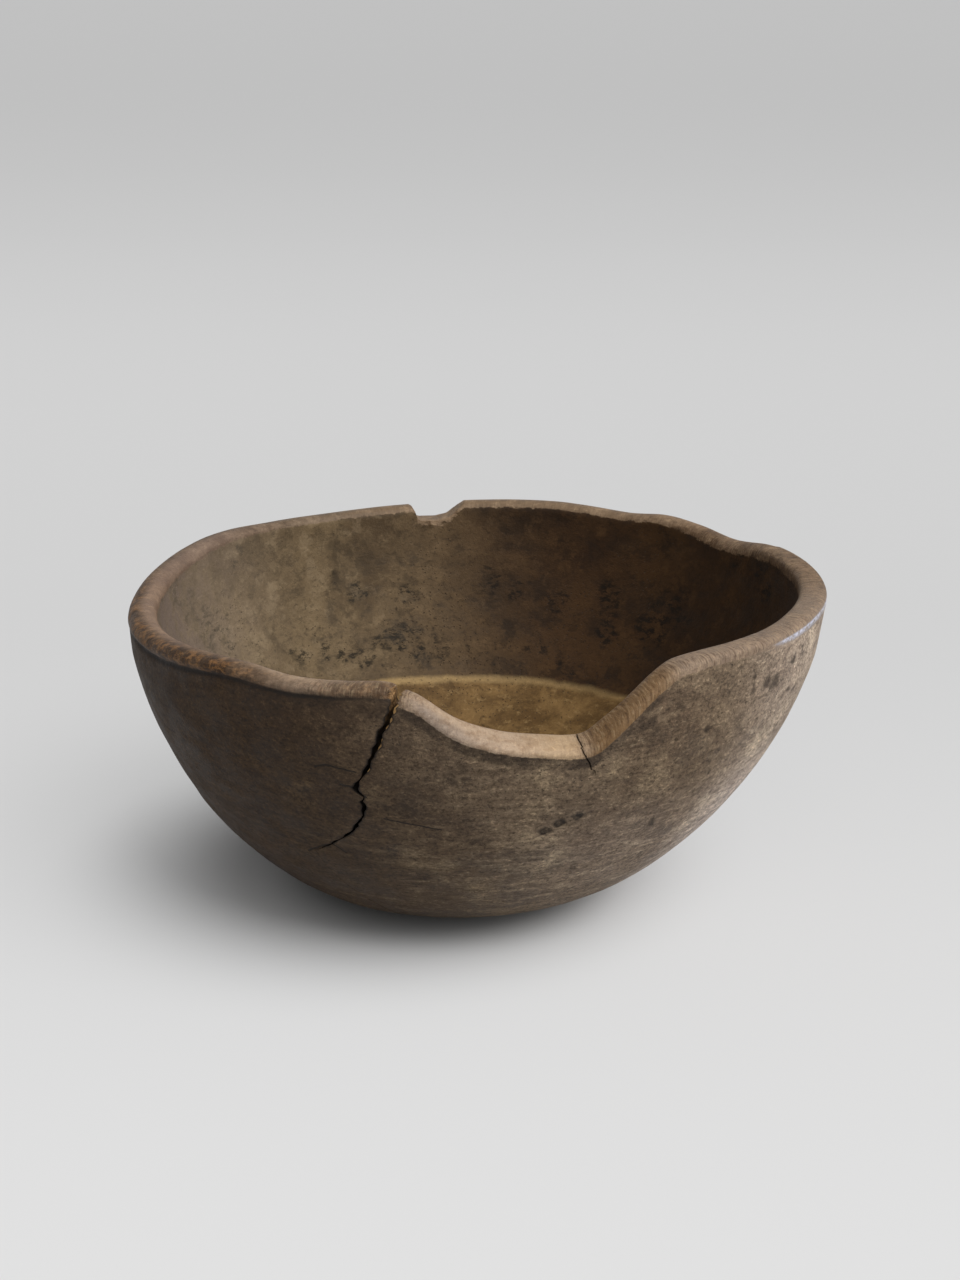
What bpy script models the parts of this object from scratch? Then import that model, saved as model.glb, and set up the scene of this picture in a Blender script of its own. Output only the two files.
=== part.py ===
"""A hand-carved wooden bowl with a broken, worn rim and a crack through its wall.

The bowl is one piece of wood. It is turned here as a blank, its wall is worn down to the
uneven rim, and then a chip and two cracks are cut out of it. Lengths are in metres, +Z is up,
and the frame's origin is on the ground under the middle of the rim. Angles go round +Z from +X,
and the side that faces -Y is the front.
"""

import math

import bmesh
import bpy
import numpy as np

# Outside
RIM_RADIUS = 0.165          # outside of the lip, from the middle of the rim
HEIGHT = 0.154              # ground to the highest crest of the lip
FOOT_RADIUS = 0.047         # flat worn foot
BELLY_POWER = 1.7           # radius swells from foot to rim as (1 - (1 - t) ** power) ** fullness
BELLY_FULLNESS = 0.575
LEAN = 0.0085               # the foot lies this far to -X of the middle of the rim

# Wall, lip and inside
LIP_WALL = 0.0135           # thickness of the wall just under the lip
RIDGE_WALL = 0.0165         # thickness of the wall at the inner ridge
LIP_RISE = 0.006            # height of the rounded crest above the wall's shoulders
LIP_SQUARENESS = 2.3        # 2 is an elliptic crest, more is flatter
RIDGE_HEIGHT = 0.062        # where the hollowed wall meets the dished bottom
FLOOR_THICKNESS = 0.021     # wood under the middle of the dish
DISH_POWER = 2.2            # the dish rises as the distance from the middle to this power

# Wear: how far the crest lies under HEIGHT, in millimetres, at an angle in degrees
RIM_DROP_MM = (
    (-178, 9.6), (-167, 9.9), (-154, 9.4), (-143, 7.6), (-128, 5.5), (-119, 7.2), (-110, 6.1),
    (-104.5, 5.2), (-102, 7.2), (-100.5, 8.9), (-97, 12.1), (-93, 19.3), (-89.5, 23.7), (-85, 27.0),
    (-79, 29.2), (-74.5, 30.5), (-72, 29.6), (-69.4, 23.6), (-65.9, 14.0), (-62.2, 5.2), (-58.5, 0.8),
    (-45, 0.2), (-36, 0.6), (-24, 0.0), (-10, 0.5), (0, 0.9), (13, 1.3), (21.5, 2.2), (30, 5.5),
    (34.5, 5.9), (42, 3.4), (50, 1.7), (58, 3.5), (67, 2.3), (74, 1.3), (90, 1.6), (106, 3.2),
    (122, 3.9), (134, 3.4), (148, 2.4), (158, 4.0), (169, 6.8),
)
LIP_ZONE = 0.012            # this much of the top sinks whole, so that the lip keeps its form
LIP_TILT = 0.07             # worn stretches slope outwards: the outer edge sinks by this share more
WEAR_MARGIN = 0.012         # the worn stretch of wall starts this far above the inner ridge

# Chip and cracks, each drawn on a plane that touches the rim at its own angle. A point is
# millimetres to the right of that angle, seen from outside, then millimetres under HEIGHT.
CHIP_ANGLE = 98.5
CHIP_MM = (
    (15.5, 2.0), (12.9, 6.0), (11.2, 10.2), (8.9, 11.1), (-0.6, 11.3), (-7.2, 9.9), (-12.1, 5.9),
    (-16.4, 1.8),
)
# The cracks run from the rim to their tips, and the third number is the width of the gap.
MAIN_CRACK_ANGLE = -106.0
MAIN_CRACK_MM = (
    (13.8, 6.0, 2.7), (12.8, 12.2, 2.6), (12.3, 14.8, 2.3), (10.1, 18.7, 2.5), (7.1, 24.3, 2.2),
    (5.8, 29.0, 2.3), (1.2, 37.9, 1.9), (-2.1, 45.1, 1.8), (-7.3, 52.5, 1.3), (-5.7, 54.1, 1.2),
    (-3.1, 56.2, 1.4), (-4.6, 58.8, 1.2), (-4.6, 61.7, 1.3), (-5.8, 66.2, 1.1), (-8.5, 71.0, 1.1),
    (-11.5, 75.4, 0.9), (-18.5, 81.6, 0.7), (-24.9, 86.5, 0.5), (-35.6, 93.8, 0.0),
)
SIDE_CRACK_ANGLE = -73.0
SIDE_CRACK_MM = (
    (-7.3, 25.5, 0.7), (-4.6, 30.2, 0.7), (-2.5, 35.7, 0.6), (0.6, 40.9, 0.5), (4.6, 47.0, 0.0),
)
CUT_OVERRUN = 0.030         # how far every cutter reaches past the wood that it cuts

# Mesh fineness
TURNS = 120                 # flat facets round the bowl
OUTER_POINTS = 17
WALL_POINTS = 9
DISH_POINTS = 8
LIP_POINTS = 7
FORMULA_POINTS = 400        # steps along the exact curves before they are resampled

MM = 0.001
MERGE_DISTANCE = 0.00001
SHOULDER = HEIGHT - LIP_RISE


def resample(points, count):
    """The same line with count points, evenly spaced along it."""
    along = np.concatenate([[0.0], np.cumsum(np.hypot(*np.diff(points, axis=0).T))])
    places = np.linspace(0.0, along[-1], count)
    return np.stack([np.interp(places, along, points[:, i]) for i in (0, 1)], axis=1)


def outer_line():
    """Radius and height up the outside, from the foot's edge to the shoulder of the lip."""
    t = np.linspace(0.0, 1.0, FORMULA_POINTS) ** 2
    swell = (1.0 - (1.0 - t) ** BELLY_POWER) ** BELLY_FULLNESS
    return np.stack([FOOT_RADIUS + (RIM_RADIUS - FOOT_RADIUS) * swell, SHOULDER * t], axis=1)


def inner_line(outer):
    """Radius and height up the hollowed wall, from the ridge to the shoulder of the lip.

    It is the outer line moved inwards along its own normal by the thickness of the wall.
    """
    slope = np.gradient(outer, axis=0)
    slope /= np.linalg.norm(slope, axis=1)[:, None]
    share = np.clip((outer[:, 1] - RIDGE_HEIGHT) / (SHOULDER - RIDGE_HEIGHT), 0.0, 1.0)
    wall = RIDGE_WALL + (LIP_WALL - RIDGE_WALL) * share
    radius = outer[:, 0] - slope[:, 1] * wall
    height = outer[:, 1] + slope[:, 0] * wall
    height += (SHOULDER - height[-1]) * share
    radius += (RIM_RADIUS - LIP_WALL - radius[-1]) * share
    ridge_radius = np.interp(RIDGE_HEIGHT, height, radius)
    above = height > RIDGE_HEIGHT
    return np.concatenate([[[ridge_radius, RIDGE_HEIGHT]], np.stack([radius, height], axis=1)[above]])


def dish_line(ridge_radius):
    """Radius and height across the dished bottom, from its middle to the ridge."""
    radius = np.linspace(0.0, ridge_radius, FORMULA_POINTS)
    rise = (RIDGE_HEIGHT - FLOOR_THICKNESS) * (radius / ridge_radius) ** DISH_POWER
    return np.stack([radius, FLOOR_THICKNESS + rise], axis=1)


def lip_line():
    """Radius and height over the rounded crest, from the inside to the outside."""
    angle = np.linspace(math.pi, 0.0, LIP_POINTS + 2)[1:-1]
    power = 2.0 / LIP_SQUARENESS
    across = np.sign(np.cos(angle)) * np.abs(np.cos(angle)) ** power
    radius = RIM_RADIUS - LIP_WALL / 2 * (1.0 - across)
    return np.stack([radius, SHOULDER + LIP_RISE * np.sin(angle) ** power], axis=1)


def make_collection(name):
    collection = bpy.data.collections.new(name)
    bpy.context.scene.collection.children.link(collection)
    return collection


def evaluated_mesh(source):
    """A new mesh of the object as its modifiers leave it, in place of the object."""
    bpy.context.view_layer.update()
    mesh = bpy.data.meshes.new_from_object(source.evaluated_get(bpy.context.evaluated_depsgraph_get()))
    mesh.transform(source.matrix_world)
    bpy.data.objects.remove(source)
    return mesh


def turned_blank(outer, inner, collection):
    """The whole blank: its section spun round Z with a Screw modifier, as a mesh of its own."""
    section = np.concatenate([
        resample(dish_line(inner[0, 0]), DISH_POINTS)[:-1],
        resample(inner, WALL_POINTS),
        lip_line(),
        resample(outer, OUTER_POINTS)[::-1],
        [[0.0, 0.0]],
    ])
    mesh = bpy.data.meshes.new("blank_section")
    edges = [(i, i + 1) for i in range(len(section) - 1)]
    mesh.from_pydata([(radius, 0.0, height) for radius, height in section], edges, [])
    blank = bpy.data.objects.new("blank", mesh)
    collection.objects.link(blank)
    screw = blank.modifiers.new("Turn", "SCREW")
    screw.steps = TURNS
    screw.render_steps = TURNS
    screw.use_merge_vertices = True
    screw.merge_threshold = MERGE_DISTANCE
    return evaluated_mesh(blank)


def rim_drop(angle):
    """How far the crest lies under HEIGHT, in metres: a smooth closed curve through RIM_DROP_MM."""
    knots, drops = np.array(RIM_DROP_MM).T
    knots = np.concatenate([knots[-2:] - 360.0, knots, knots[:2] + 360.0])
    drops = np.concatenate([drops[-2:], drops, drops[:2]])
    slopes = (drops[2:] - drops[:-2]) / (knots[2:] - knots[:-2])
    knots, drops = knots[1:-1], drops[1:-1]
    place = (np.degrees(angle) - knots[0]) % 360.0 + knots[0]
    left = np.clip(np.searchsorted(knots, place, side="right") - 1, 0, len(knots) - 2)
    span = knots[left + 1] - knots[left]
    t = (place - knots[left]) / span
    start = (1 + 2 * t) * (1 - t) ** 2 * drops[left] + t * (1 - t) ** 2 * span * slopes[left]
    end = t * t * (3 - 2 * t) * drops[left + 1] - t * t * (1 - t) * span * slopes[left + 1]
    return (start + end) * MM


def wear_down(mesh, outer, inner):
    """Sinks the wall to the worn rim and leans the bowl.

    A point keeps its share of the way across the wall, so both faces stay on the turned form.
    """
    points = np.empty(len(mesh.vertices) * 3, np.float32)
    mesh.vertices.foreach_get("co", points)
    points = points.reshape(-1, 3).astype(float)
    angle = np.arctan2(points[:, 1], points[:, 0])
    radius = np.hypot(points[:, 0], points[:, 1])
    height = points[:, 2]

    def faces_at(level):
        level = np.minimum(level, SHOULDER)
        return np.interp(level, outer[:, 1], outer[:, 0]), np.interp(level, inner[:, 1], inner[:, 0])

    outside, inside = faces_at(height)
    share = np.clip((outside - radius) / (outside - inside), 0.0, 1.0)
    low, high = RIDGE_HEIGHT + WEAR_MARGIN, HEIGHT - LIP_ZONE
    drop = rim_drop(angle) * (1.0 + LIP_TILT * (0.5 - share))
    sunk = height - drop * np.clip((height - low) / (high - low), 0.0, 1.0)
    new_outside, new_inside = faces_at(sunk)
    moved = sunk < height
    radius[moved] = (new_outside - share * (new_outside - new_inside))[moved]
    lean = LEAN * (sunk / HEIGHT - 1.0)
    worn = np.stack([radius * np.cos(angle) + lean, radius * np.sin(angle), sunk], axis=1)
    mesh.vertices.foreach_set("co", worn.astype(np.float32).ravel())
    mesh.update()


def wall_cutter(name, outline, facing, collection):
    """A closed outline on the plane that touches the rim at one angle, pushed through the wall."""
    turn = math.radians(facing)
    curve = bpy.data.curves.new(name + "_outline", "CURVE")
    curve.dimensions = "2D"
    curve.fill_mode = "BOTH"
    curve.extrude = LIP_WALL + RIDGE_WALL + CUT_OVERRUN
    spline = curve.splines.new("POLY")
    spline.points.add(len(outline) - 1)
    for point, (across, depth) in zip(spline.points, outline):
        point.co = (across, HEIGHT - depth, 0.0, 1.0)
    spline.use_cyclic_u = True
    drawn = bpy.data.objects.new(name + "_outline", curve)
    collection.objects.link(drawn)
    drawn.rotation_euler = (math.pi / 2, 0.0, turn + math.pi / 2)
    drawn.location = (RIM_RADIUS * math.cos(turn), RIM_RADIUS * math.sin(turn), 0.0)
    mesh = evaluated_mesh(drawn)
    shape = bmesh.new()
    shape.from_mesh(mesh)
    bmesh.ops.remove_doubles(shape, verts=shape.verts, dist=MERGE_DISTANCE)
    bmesh.ops.recalc_face_normals(shape, faces=shape.faces)
    shape.to_mesh(mesh)
    shape.free()
    cutter = bpy.data.objects.new(name, mesh)
    cutter.hide_render = True
    cutter.display_type = "WIRE"
    collection.objects.link(cutter)
    return cutter


def crack_cutter(name, path, facing, collection):
    """A crack is a thin jagged wedge: open past the rim, closing to a point at its tip."""
    line = [(across * MM, depth * MM, width * MM) for across, depth, width in path]
    left = [(across - width / 2, depth) for across, depth, width in line[:-1]]
    right = [(across + width / 2, depth) for across, depth, width in line[:-1]]
    left.insert(0, (left[0][0], -CUT_OVERRUN))
    right.insert(0, (right[0][0], -CUT_OVERRUN))
    return wall_cutter(name, left + [line[-1][:2]] + right[::-1], facing, collection)


def chip_cutter(name, outline, facing, collection):
    """The chip's outline, closed above the rim."""
    edge = [(across * MM, depth * MM) for across, depth in outline]
    above = [(edge[-1][0], -CUT_OVERRUN), (edge[0][0], -CUT_OVERRUN)]
    return wall_cutter(name, edge + above, facing, collection)


def weathered_wood():
    material = bpy.data.materials.new("weathered_wood")
    material.use_nodes = True
    shader = material.node_tree.nodes["Principled BSDF"]
    shader.inputs["Base Color"].default_value = (0.135, 0.103, 0.072, 1.0)
    shader.inputs["Roughness"].default_value = 0.72
    shader.inputs["Metallic"].default_value = 0.0
    return material


def main():
    for thing in list(bpy.data.objects):
        bpy.data.objects.remove(thing)
    parts = make_collection("cracked_bowl")
    cutters = make_collection("cutters")

    outer = outer_line()
    inner = inner_line(outer)
    mesh = turned_blank(outer, inner, cutters)
    wear_down(mesh, outer, inner)
    mesh.name = "bowl"
    bowl = bpy.data.objects.new("bowl", mesh)
    parts.objects.link(bowl)

    for cutter in (
        chip_cutter("rim_chip", CHIP_MM, CHIP_ANGLE, cutters),
        crack_cutter("main_crack", MAIN_CRACK_MM, MAIN_CRACK_ANGLE, cutters),
        crack_cutter("side_crack", SIDE_CRACK_MM, SIDE_CRACK_ANGLE, cutters),
    ):
        cut = bowl.modifiers.new(cutter.name, "BOOLEAN")
        cut.operation = "DIFFERENCE"
        cut.object = cutter

    mesh.materials.clear()
    mesh.materials.append(weathered_wood())
    mesh.shade_smooth()
    mesh.set_sharp_from_angle(angle=math.radians(40.0))


main()
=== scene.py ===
import math

import bpy
import numpy as np
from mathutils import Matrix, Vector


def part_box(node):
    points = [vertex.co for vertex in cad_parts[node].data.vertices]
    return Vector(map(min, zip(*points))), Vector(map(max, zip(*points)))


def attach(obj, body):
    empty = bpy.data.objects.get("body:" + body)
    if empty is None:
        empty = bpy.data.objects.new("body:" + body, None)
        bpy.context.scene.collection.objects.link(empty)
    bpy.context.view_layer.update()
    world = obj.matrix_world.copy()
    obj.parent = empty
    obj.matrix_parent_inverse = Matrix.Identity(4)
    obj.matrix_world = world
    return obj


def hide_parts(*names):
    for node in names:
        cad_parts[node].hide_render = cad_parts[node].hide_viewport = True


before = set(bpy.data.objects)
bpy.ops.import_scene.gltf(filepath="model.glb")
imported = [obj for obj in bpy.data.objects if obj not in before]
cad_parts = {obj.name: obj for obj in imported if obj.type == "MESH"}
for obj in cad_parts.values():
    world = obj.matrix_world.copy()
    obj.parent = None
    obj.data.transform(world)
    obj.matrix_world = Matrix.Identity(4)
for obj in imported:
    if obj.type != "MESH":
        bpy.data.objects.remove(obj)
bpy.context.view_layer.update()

# The bowl: one piece of wood, hollowed and shaped by hand, its rim worn wavy. A wide dip has
# broken out of the front, a chip out of the back, and the wall has split beside the dip.
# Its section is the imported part's own, and the crack and its two torn faces are built in.
MM = 0.001
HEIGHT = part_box("bowl")[1].z
RIM_RADIUS = 0.165
FOOT_RADIUS = 0.047
BELLY_POWER = 1.7
BELLY_FULLNESS = 0.575
LEAN = 0.0085
LIP_WALL = 0.0135
RIDGE_WALL = 0.0165
LIP_RISE = 0.006
RIDGE_HEIGHT = 0.062
FLOOR_THICKNESS = 0.021
DISH_POWER = 2.2
SHOULDER = HEIGHT - LIP_RISE
LIP_ZONE = 0.012            # this far down, the wall sinks as much as the crest
LIP_TILT = 0.07             # the outer edge sinks more than the inner one by this share
WEAR_MARGIN = 0.012         # this far over the ridge, the wall doesn't sink

# The worn rim: an angle, and how far the crest lies under the highest point there.
RIM_DROP_MM = (
    (-178, 9.6), (-167, 9.9), (-154, 9.4), (-143, 7.6), (-128, 5.5), (-119, 7.2), (-110, 6.1),
    (-104.5, 4.6), (-102.5, 4.8), (-100.6, 6.9), (-98.5, 9.4), (-97, 11.8), (-93, 19.3),
    (-89.5, 23.7), (-85, 27.0), (-79, 29.2), (-74.5, 30.5), (-72, 29.6), (-69.4, 23.6),
    (-65.9, 14.0), (-62.2, 5.2), (-58.5, 0.8), (-45, 0.2), (-36, 0.6), (-24, 0.0), (-10, 0.5), (0, 0.9),
    (13, 1.3), (21.5, 2.2), (30, 5.5), (34.5, 5.9), (42, 3.4), (50, 1.7), (58, 3.5), (67, 2.3),
    (74, 1.3), (90, 1.6), (106, 3.2), (122, 3.9), (134, 3.4), (148, 2.4), (158, 4.0), (169, 6.8),
)

# The chip: millimetres to the left of its middle, seen from the front, and under the top.
CHIP_ANGLE = 98.5
CHIP_MM = (
    (15.5, 2.0), (12.9, 6.0), (11.2, 10.2), (8.9, 11.1), (-0.6, 11.3), (-7.2, 9.9), (-12.1, 5.9),
    (-16.4, 1.8),
)
CHIP_RISE = 0.0012          # a broken crest is nearly flat
CHIP_SQUARENESS = 7.0
LIP_SQUARENESS = 2.3

# Cracks: millimetres to the right of an angle, millimetres under the rim, width of the gap.
MAIN_CRACK_ANGLE = -106.0
MAIN_CRACK_MM = (
    (13.1, 6.0, 4.1), (12.5, 12.2, 3.2), (12.3, 14.8, 2.4), (10.1, 18.7, 2.5), (7.1, 24.3, 2.2),
    (5.8, 29.0, 2.3), (1.2, 37.9, 1.9), (-2.1, 45.1, 1.8), (-7.3, 52.5, 1.3), (-5.7, 54.1, 1.2),
    (-3.1, 56.2, 1.4), (-4.6, 58.8, 1.2), (-4.6, 61.7, 1.3), (-5.8, 66.2, 1.1), (-8.5, 71.0, 1.1),
    (-11.5, 75.4, 0.9), (-18.5, 81.6, 0.7), (-24.9, 86.5, 0.5), (-33.5, 92.0, 0.0),
)
SIDE_CRACK_ANGLE = -73.0
SIDE_CRACK_MM = (
    (-7.3, 25.5, 0.7), (-4.6, 30.2, 0.7), (-2.5, 35.7, 0.6), (0.6, 40.9, 0.5), (4.6, 47.0, 0.0),
)
SIDE_CRACK_DEPTH = 0.0022
CRACK_PASSES = 6

# Fineness of the grid, in rows along the section and columns round the bowl.
COLUMNS = 440
FINE_COLUMNS = 20000
DISH_ROWS = 24
WALL_ROWS = 68
LIP_ROWS = 23
BELLY_ROWS = 26
FOOT_ROWS = 4
TORN_COLUMNS = 6
FORMULA_POINTS = 400
SEAM = -108.0               # the grid starts and ends at the crack
LEFT_END = -103.5           # the rim keeps its height from here to the crack's left edge
RIGHT_END = -100.6


def eased(value, low, high):
    """0 below low, 1 above high, and 3t^2 - 2t^3 between them."""
    t = np.clip((value - low) / (high - low), 0.0, 1.0)
    return t * t * (3.0 - 2.0 * t)


def bell(value, middle, width):
    """1 in the middle, falling off on both sides as exp(-(distance / width)^2)."""
    return np.exp(-((value - middle) / width) ** 2)


def between(value, start, full, fading, end):
    """0 outside a stretch and 1 within it: eased in from start to full, and out from fading to end."""
    return eased(value, start, full) * (1.0 - eased(value, fading, end))


def outside_line():
    """Radius and height up the outside: foot + (rim - foot) * (1 - (1 - t)^power)^fullness."""
    t = np.linspace(0.0, 1.0, FORMULA_POINTS) ** 2
    swell = (1.0 - (1.0 - t) ** BELLY_POWER) ** BELLY_FULLNESS
    return np.stack([FOOT_RADIUS + (RIM_RADIUS - FOOT_RADIUS) * swell, SHOULDER * t], axis=1)


def inside_line(outside):
    """The outside moved inwards along its normal by the wall, from the ridge to the shoulder."""
    slope = np.gradient(outside, axis=0)
    slope /= np.linalg.norm(slope, axis=1)[:, None]
    share = np.clip((outside[:, 1] - RIDGE_HEIGHT) / (SHOULDER - RIDGE_HEIGHT), 0.0, 1.0)
    wall = RIDGE_WALL + (LIP_WALL - RIDGE_WALL) * share
    radius = outside[:, 0] - slope[:, 1] * wall
    height = outside[:, 1] + slope[:, 0] * wall
    height += (SHOULDER - height[-1]) * share
    radius += (RIM_RADIUS - LIP_WALL - radius[-1]) * share
    return np.stack([radius, height], axis=1)


OUTSIDE = outside_line()
INSIDE = inside_line(OUTSIDE)
RIDGE_RADIUS = np.interp(RIDGE_HEIGHT, INSIDE[:, 1], INSIDE[:, 0])


def crest_drop(turn):
    """How far the worn crest lies under HEIGHT: cubic pieces through RIM_DROP_MM.

    Between two points it is (1 + 2t)(1 - t)^2 of the first depth and t^2 (3 - 2t) of the second,
    with t (1 - t)^2 of the first slope less t^2 (1 - t) of the second, times the span. A point's
    slope is that of the line between its two neighbours.
    """
    knots, drops = np.array(RIM_DROP_MM).T
    knots = np.concatenate([knots[-2:] - 360.0, knots, knots[:2] + 360.0])
    drops = np.concatenate([drops[-2:], drops, drops[:2]])
    slopes = (drops[2:] - drops[:-2]) / (knots[2:] - knots[:-2])
    knots, drops = knots[1:-1], drops[1:-1]
    place = (turn - knots[0]) % 360.0 + knots[0]
    left = np.clip(np.searchsorted(knots, place, side="right") - 1, 0, len(knots) - 2)
    span = knots[left + 1] - knots[left]
    t = (place - knots[left]) / span
    start = (1 + 2 * t) * (1 - t) ** 2 * drops[left] + t * (1 - t) ** 2 * span * slopes[left]
    end = t * t * (3 - 2 * t) * drops[left + 1] - t * t * (1 - t) * span * slopes[left + 1]
    return (start + end) * MM


def chip_drop(turn):
    """The chip's own outline, as a depth under HEIGHT at an angle. It is 0 beside the chip.

    The place across is the rim's radius times the sine of the angle from the chip's middle, and
    angles of more than 60 degrees count as 60, where the sine still grows.
    """
    across, depth = np.array(CHIP_MM)[::-1].T * MM
    away = np.clip((turn - CHIP_ANGLE + 180) % 360 - 180, -60, 60)
    place = RIM_RADIUS * np.sin(np.radians(away))
    return np.interp(place, across, depth, left=0.0, right=0.0)


def stepped(turn, is_left):
    """The two sides of the crack no longer meet level: each keeps the rim's height it had there."""
    return np.where(is_left, np.minimum(turn, 360.0 + LEFT_END), np.maximum(turn, RIGHT_END))


def worn_height(height, share, turn):
    """The wall sinks by the crest's drop, fading out towards the ridge, and more on its outside.

    It is the height - drop * (1 + tilt * (0.5 - share)) * t, where t grows from 0 over the ridge
    to 1 under the top. A broken edge has no tilt.
    """
    broken = chip_drop(turn)
    worn = crest_drop(turn)
    drop = np.maximum(worn, broken) * (1.0 + LIP_TILT * (0.5 - share) * (broken < worn))
    low, high = RIDGE_HEIGHT + WEAR_MARGIN, HEIGHT - LIP_ZONE
    return height - drop * np.clip((height - low) / (high - low), 0.0, 1.0)


def wall_radius(height, share):
    """Radius at a height, at a share of the way through the wall: 0 is outside, 1 inside.

    It is outside - share * (outside - inside), both read from their lines at that height.
    """
    level = np.minimum(height, SHOULDER)
    outside = np.interp(level, OUTSIDE[:, 1], OUTSIDE[:, 0])
    inside = np.interp(level, INSIDE[:, 1], INSIDE[:, 0])
    return outside - share * (outside - inside)


def lean(height):
    """The foot lies to the left of the rim's middle, and the section shears over in proportion:
    the shift is LEAN times (height / HEIGHT - 1).
    """
    return LEAN * (height / HEIGHT - 1.0)


def crack_turn(path_mm, facing, height, share, side):
    """Angle of a crack's left edge (side -1), middle (0) or right edge (1) at each unworn height.

    The path is drawn on a plane that touches the rim, so the angle is facing + arcsin of the
    distance across over the radius. It is found in a few passes, as the wear depends on it.
    """
    across, depth, width = np.array(path_mm).T * MM
    plane = math.radians(facing)
    turn = np.full(len(height), facing)
    for _ in range(CRACK_PASSES):
        near = np.where(side < 0, np.minimum(turn, LEFT_END), turn)
        level = worn_height(height, share, np.where(side > 0, np.maximum(near, RIGHT_END), near))
        place = np.interp(HEIGHT - level, depth, across + side * width / 2.0)
        place = place + lean(level) * math.sin(plane)
        turn = facing + np.degrees(np.arcsin(place / wall_radius(level, share)))
    return turn


TABLE_LENGTH = 4096
LATTICE_PRIMES = np.array([73856093, 19349663, 83492791])


def clumps(points, size, seed):
    """Smooth random lumps from 0 to 1: random values on a cubic lattice, eased between corners.

    A corner's value comes from a table, at the place that its whole coordinates times three
    primes give, joined by exclusive or.
    """
    table = np.random.default_rng(seed).random(TABLE_LENGTH)
    place = points / size
    cell = np.floor(place).astype(np.int64)
    t = place - cell
    t = t * t * (3.0 - 2.0 * t)
    total = np.zeros(points.shape[:-1])
    for corner in np.ndindex(2, 2, 2):
        spots = (cell + corner) * LATTICE_PRIMES
        weight = np.prod(np.where(corner, t, 1.0 - t), axis=-1)
        total += weight * table[np.bitwise_xor.reduce(spots, axis=-1) & (TABLE_LENGTH - 1)]
    return total


# Rows of the section, from the middle of the dish over the lip to the middle of the foot.
# On the wall they lie closer together towards the lip, by this share of their mean distance.
CLOSER_AT_LIP = 0.5
up = np.linspace(0.0, 1.0, WALL_ROWS)
wall_heights = RIDGE_HEIGHT + (SHOULDER - RIDGE_HEIGHT) * up * (1.0 + CLOSER_AT_LIP - CLOSER_AT_LIP * up)
over = np.linspace(math.pi, 0.0, LIP_ROWS + 2)[1:-1]
belly = np.linspace(1.0, 0.0, BELLY_ROWS + 1)[1:]
along = np.concatenate([[0.0], np.cumsum(np.hypot(*np.diff(OUTSIDE, axis=0).T))])
belly_along = belly * np.interp(RIDGE_HEIGHT, OUTSIDE[:, 1], along)
belly_heights = np.interp(belly_along, along, OUTSIDE[:, 1])
dish_shares = np.linspace(0.0, 1.0, DISH_ROWS, endpoint=False)
foot_shares = np.linspace(1.0, 0.0, FOOT_ROWS + 1)[1:]
crest_height = SHOULDER + LIP_RISE * np.sin(over)
heights = np.concatenate([
    FLOOR_THICKNESS + (RIDGE_HEIGHT - FLOOR_THICKNESS) * dish_shares ** DISH_POWER,
    wall_heights, crest_height, wall_heights[::-1], belly_heights, np.zeros(FOOT_ROWS),
])
shares = np.concatenate([
    np.ones(DISH_ROWS + WALL_ROWS), (1.0 - np.cos(over)) / 2.0,
    np.zeros(WALL_ROWS + BELLY_ROWS + FOOT_ROWS),
])
ROWS = len(heights)
first_lip = DISH_ROWS + WALL_ROWS
after_lip = first_lip + LIP_ROWS
after_wall = after_lip + WALL_ROWS
row_index = np.arange(ROWS)
is_lip = (row_index >= first_lip) & (row_index < after_lip)
half_lip = LIP_ROWS // 2

# Columns, closer together beside the crack, the hairline and the chip: an angle, how many
# more columns there are at it, and how many degrees that reaches.
CLOSER_COLUMNS = (
    (SEAM, 6.0, 4.0), (SEAM + 360.0, 6.0, 4.0), (SIDE_CRACK_ANGLE, 2.5, 3.5), (CHIP_ANGLE, 1.2, 8.0),
)
HAIRLINE_HALF_WIDTH = 0.14
fine_turns = np.linspace(SEAM, SEAM + 360.0, FINE_COLUMNS)
closeness = np.ones(FINE_COLUMNS)
for middle, more, reach in CLOSER_COLUMNS:
    closeness += more * bell(fine_turns, middle, reach)
reached = np.concatenate([[0.0], np.cumsum((closeness[1:] + closeness[:-1]) / 2.0)])
columns = np.interp(np.linspace(0.0, reached[-1], COLUMNS + 1), reached, fine_turns)
hairline = int(np.argmin(np.abs(columns - SIDE_CRACK_ANGLE)))
columns[hairline - 1:hairline + 2] = SIDE_CRACK_ANGLE + np.array([-1.0, 0.0, 1.0]) * HAIRLINE_HALF_WIDTH

# Every column is pushed sideways so that the grid's two ends follow the crack's two edges.
# In degrees, each edge has splinters of its own, and both share one wander.
SPLINTERS = 0.55
WANDER = 0.22
LEAST_GAP = 0.02
PUSH_REACH = 50.0
OTHER_INSIDE = 0.3          # this far along the lumps, so that the inside has others
row_places = np.stack([np.zeros(ROWS), np.zeros(ROWS), heights + OTHER_INSIDE * shares], axis=-1)


def ragged(size, seed, middle=0.5):
    """Random lumps down the section, less their middle value, so they push to both sides."""
    return clumps(row_places, size, seed) - middle


right_edge = crack_turn(MAIN_CRACK_MM, MAIN_CRACK_ANGLE, heights, shares, 1)
left_edge = crack_turn(MAIN_CRACK_MM, MAIN_CRACK_ANGLE, heights, shares, -1)
right_edge = right_edge + SPLINTERS * ragged(0.0019, 11, middle=0.45)
wander = WANDER * ragged(0.0050, 13)
right_edge = right_edge + wander
left_edge = left_edge + SPLINTERS * ragged(0.0021, 12, middle=0.55) + wander
left_edge = np.minimum(left_edge, right_edge - LEAST_GAP)

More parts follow.
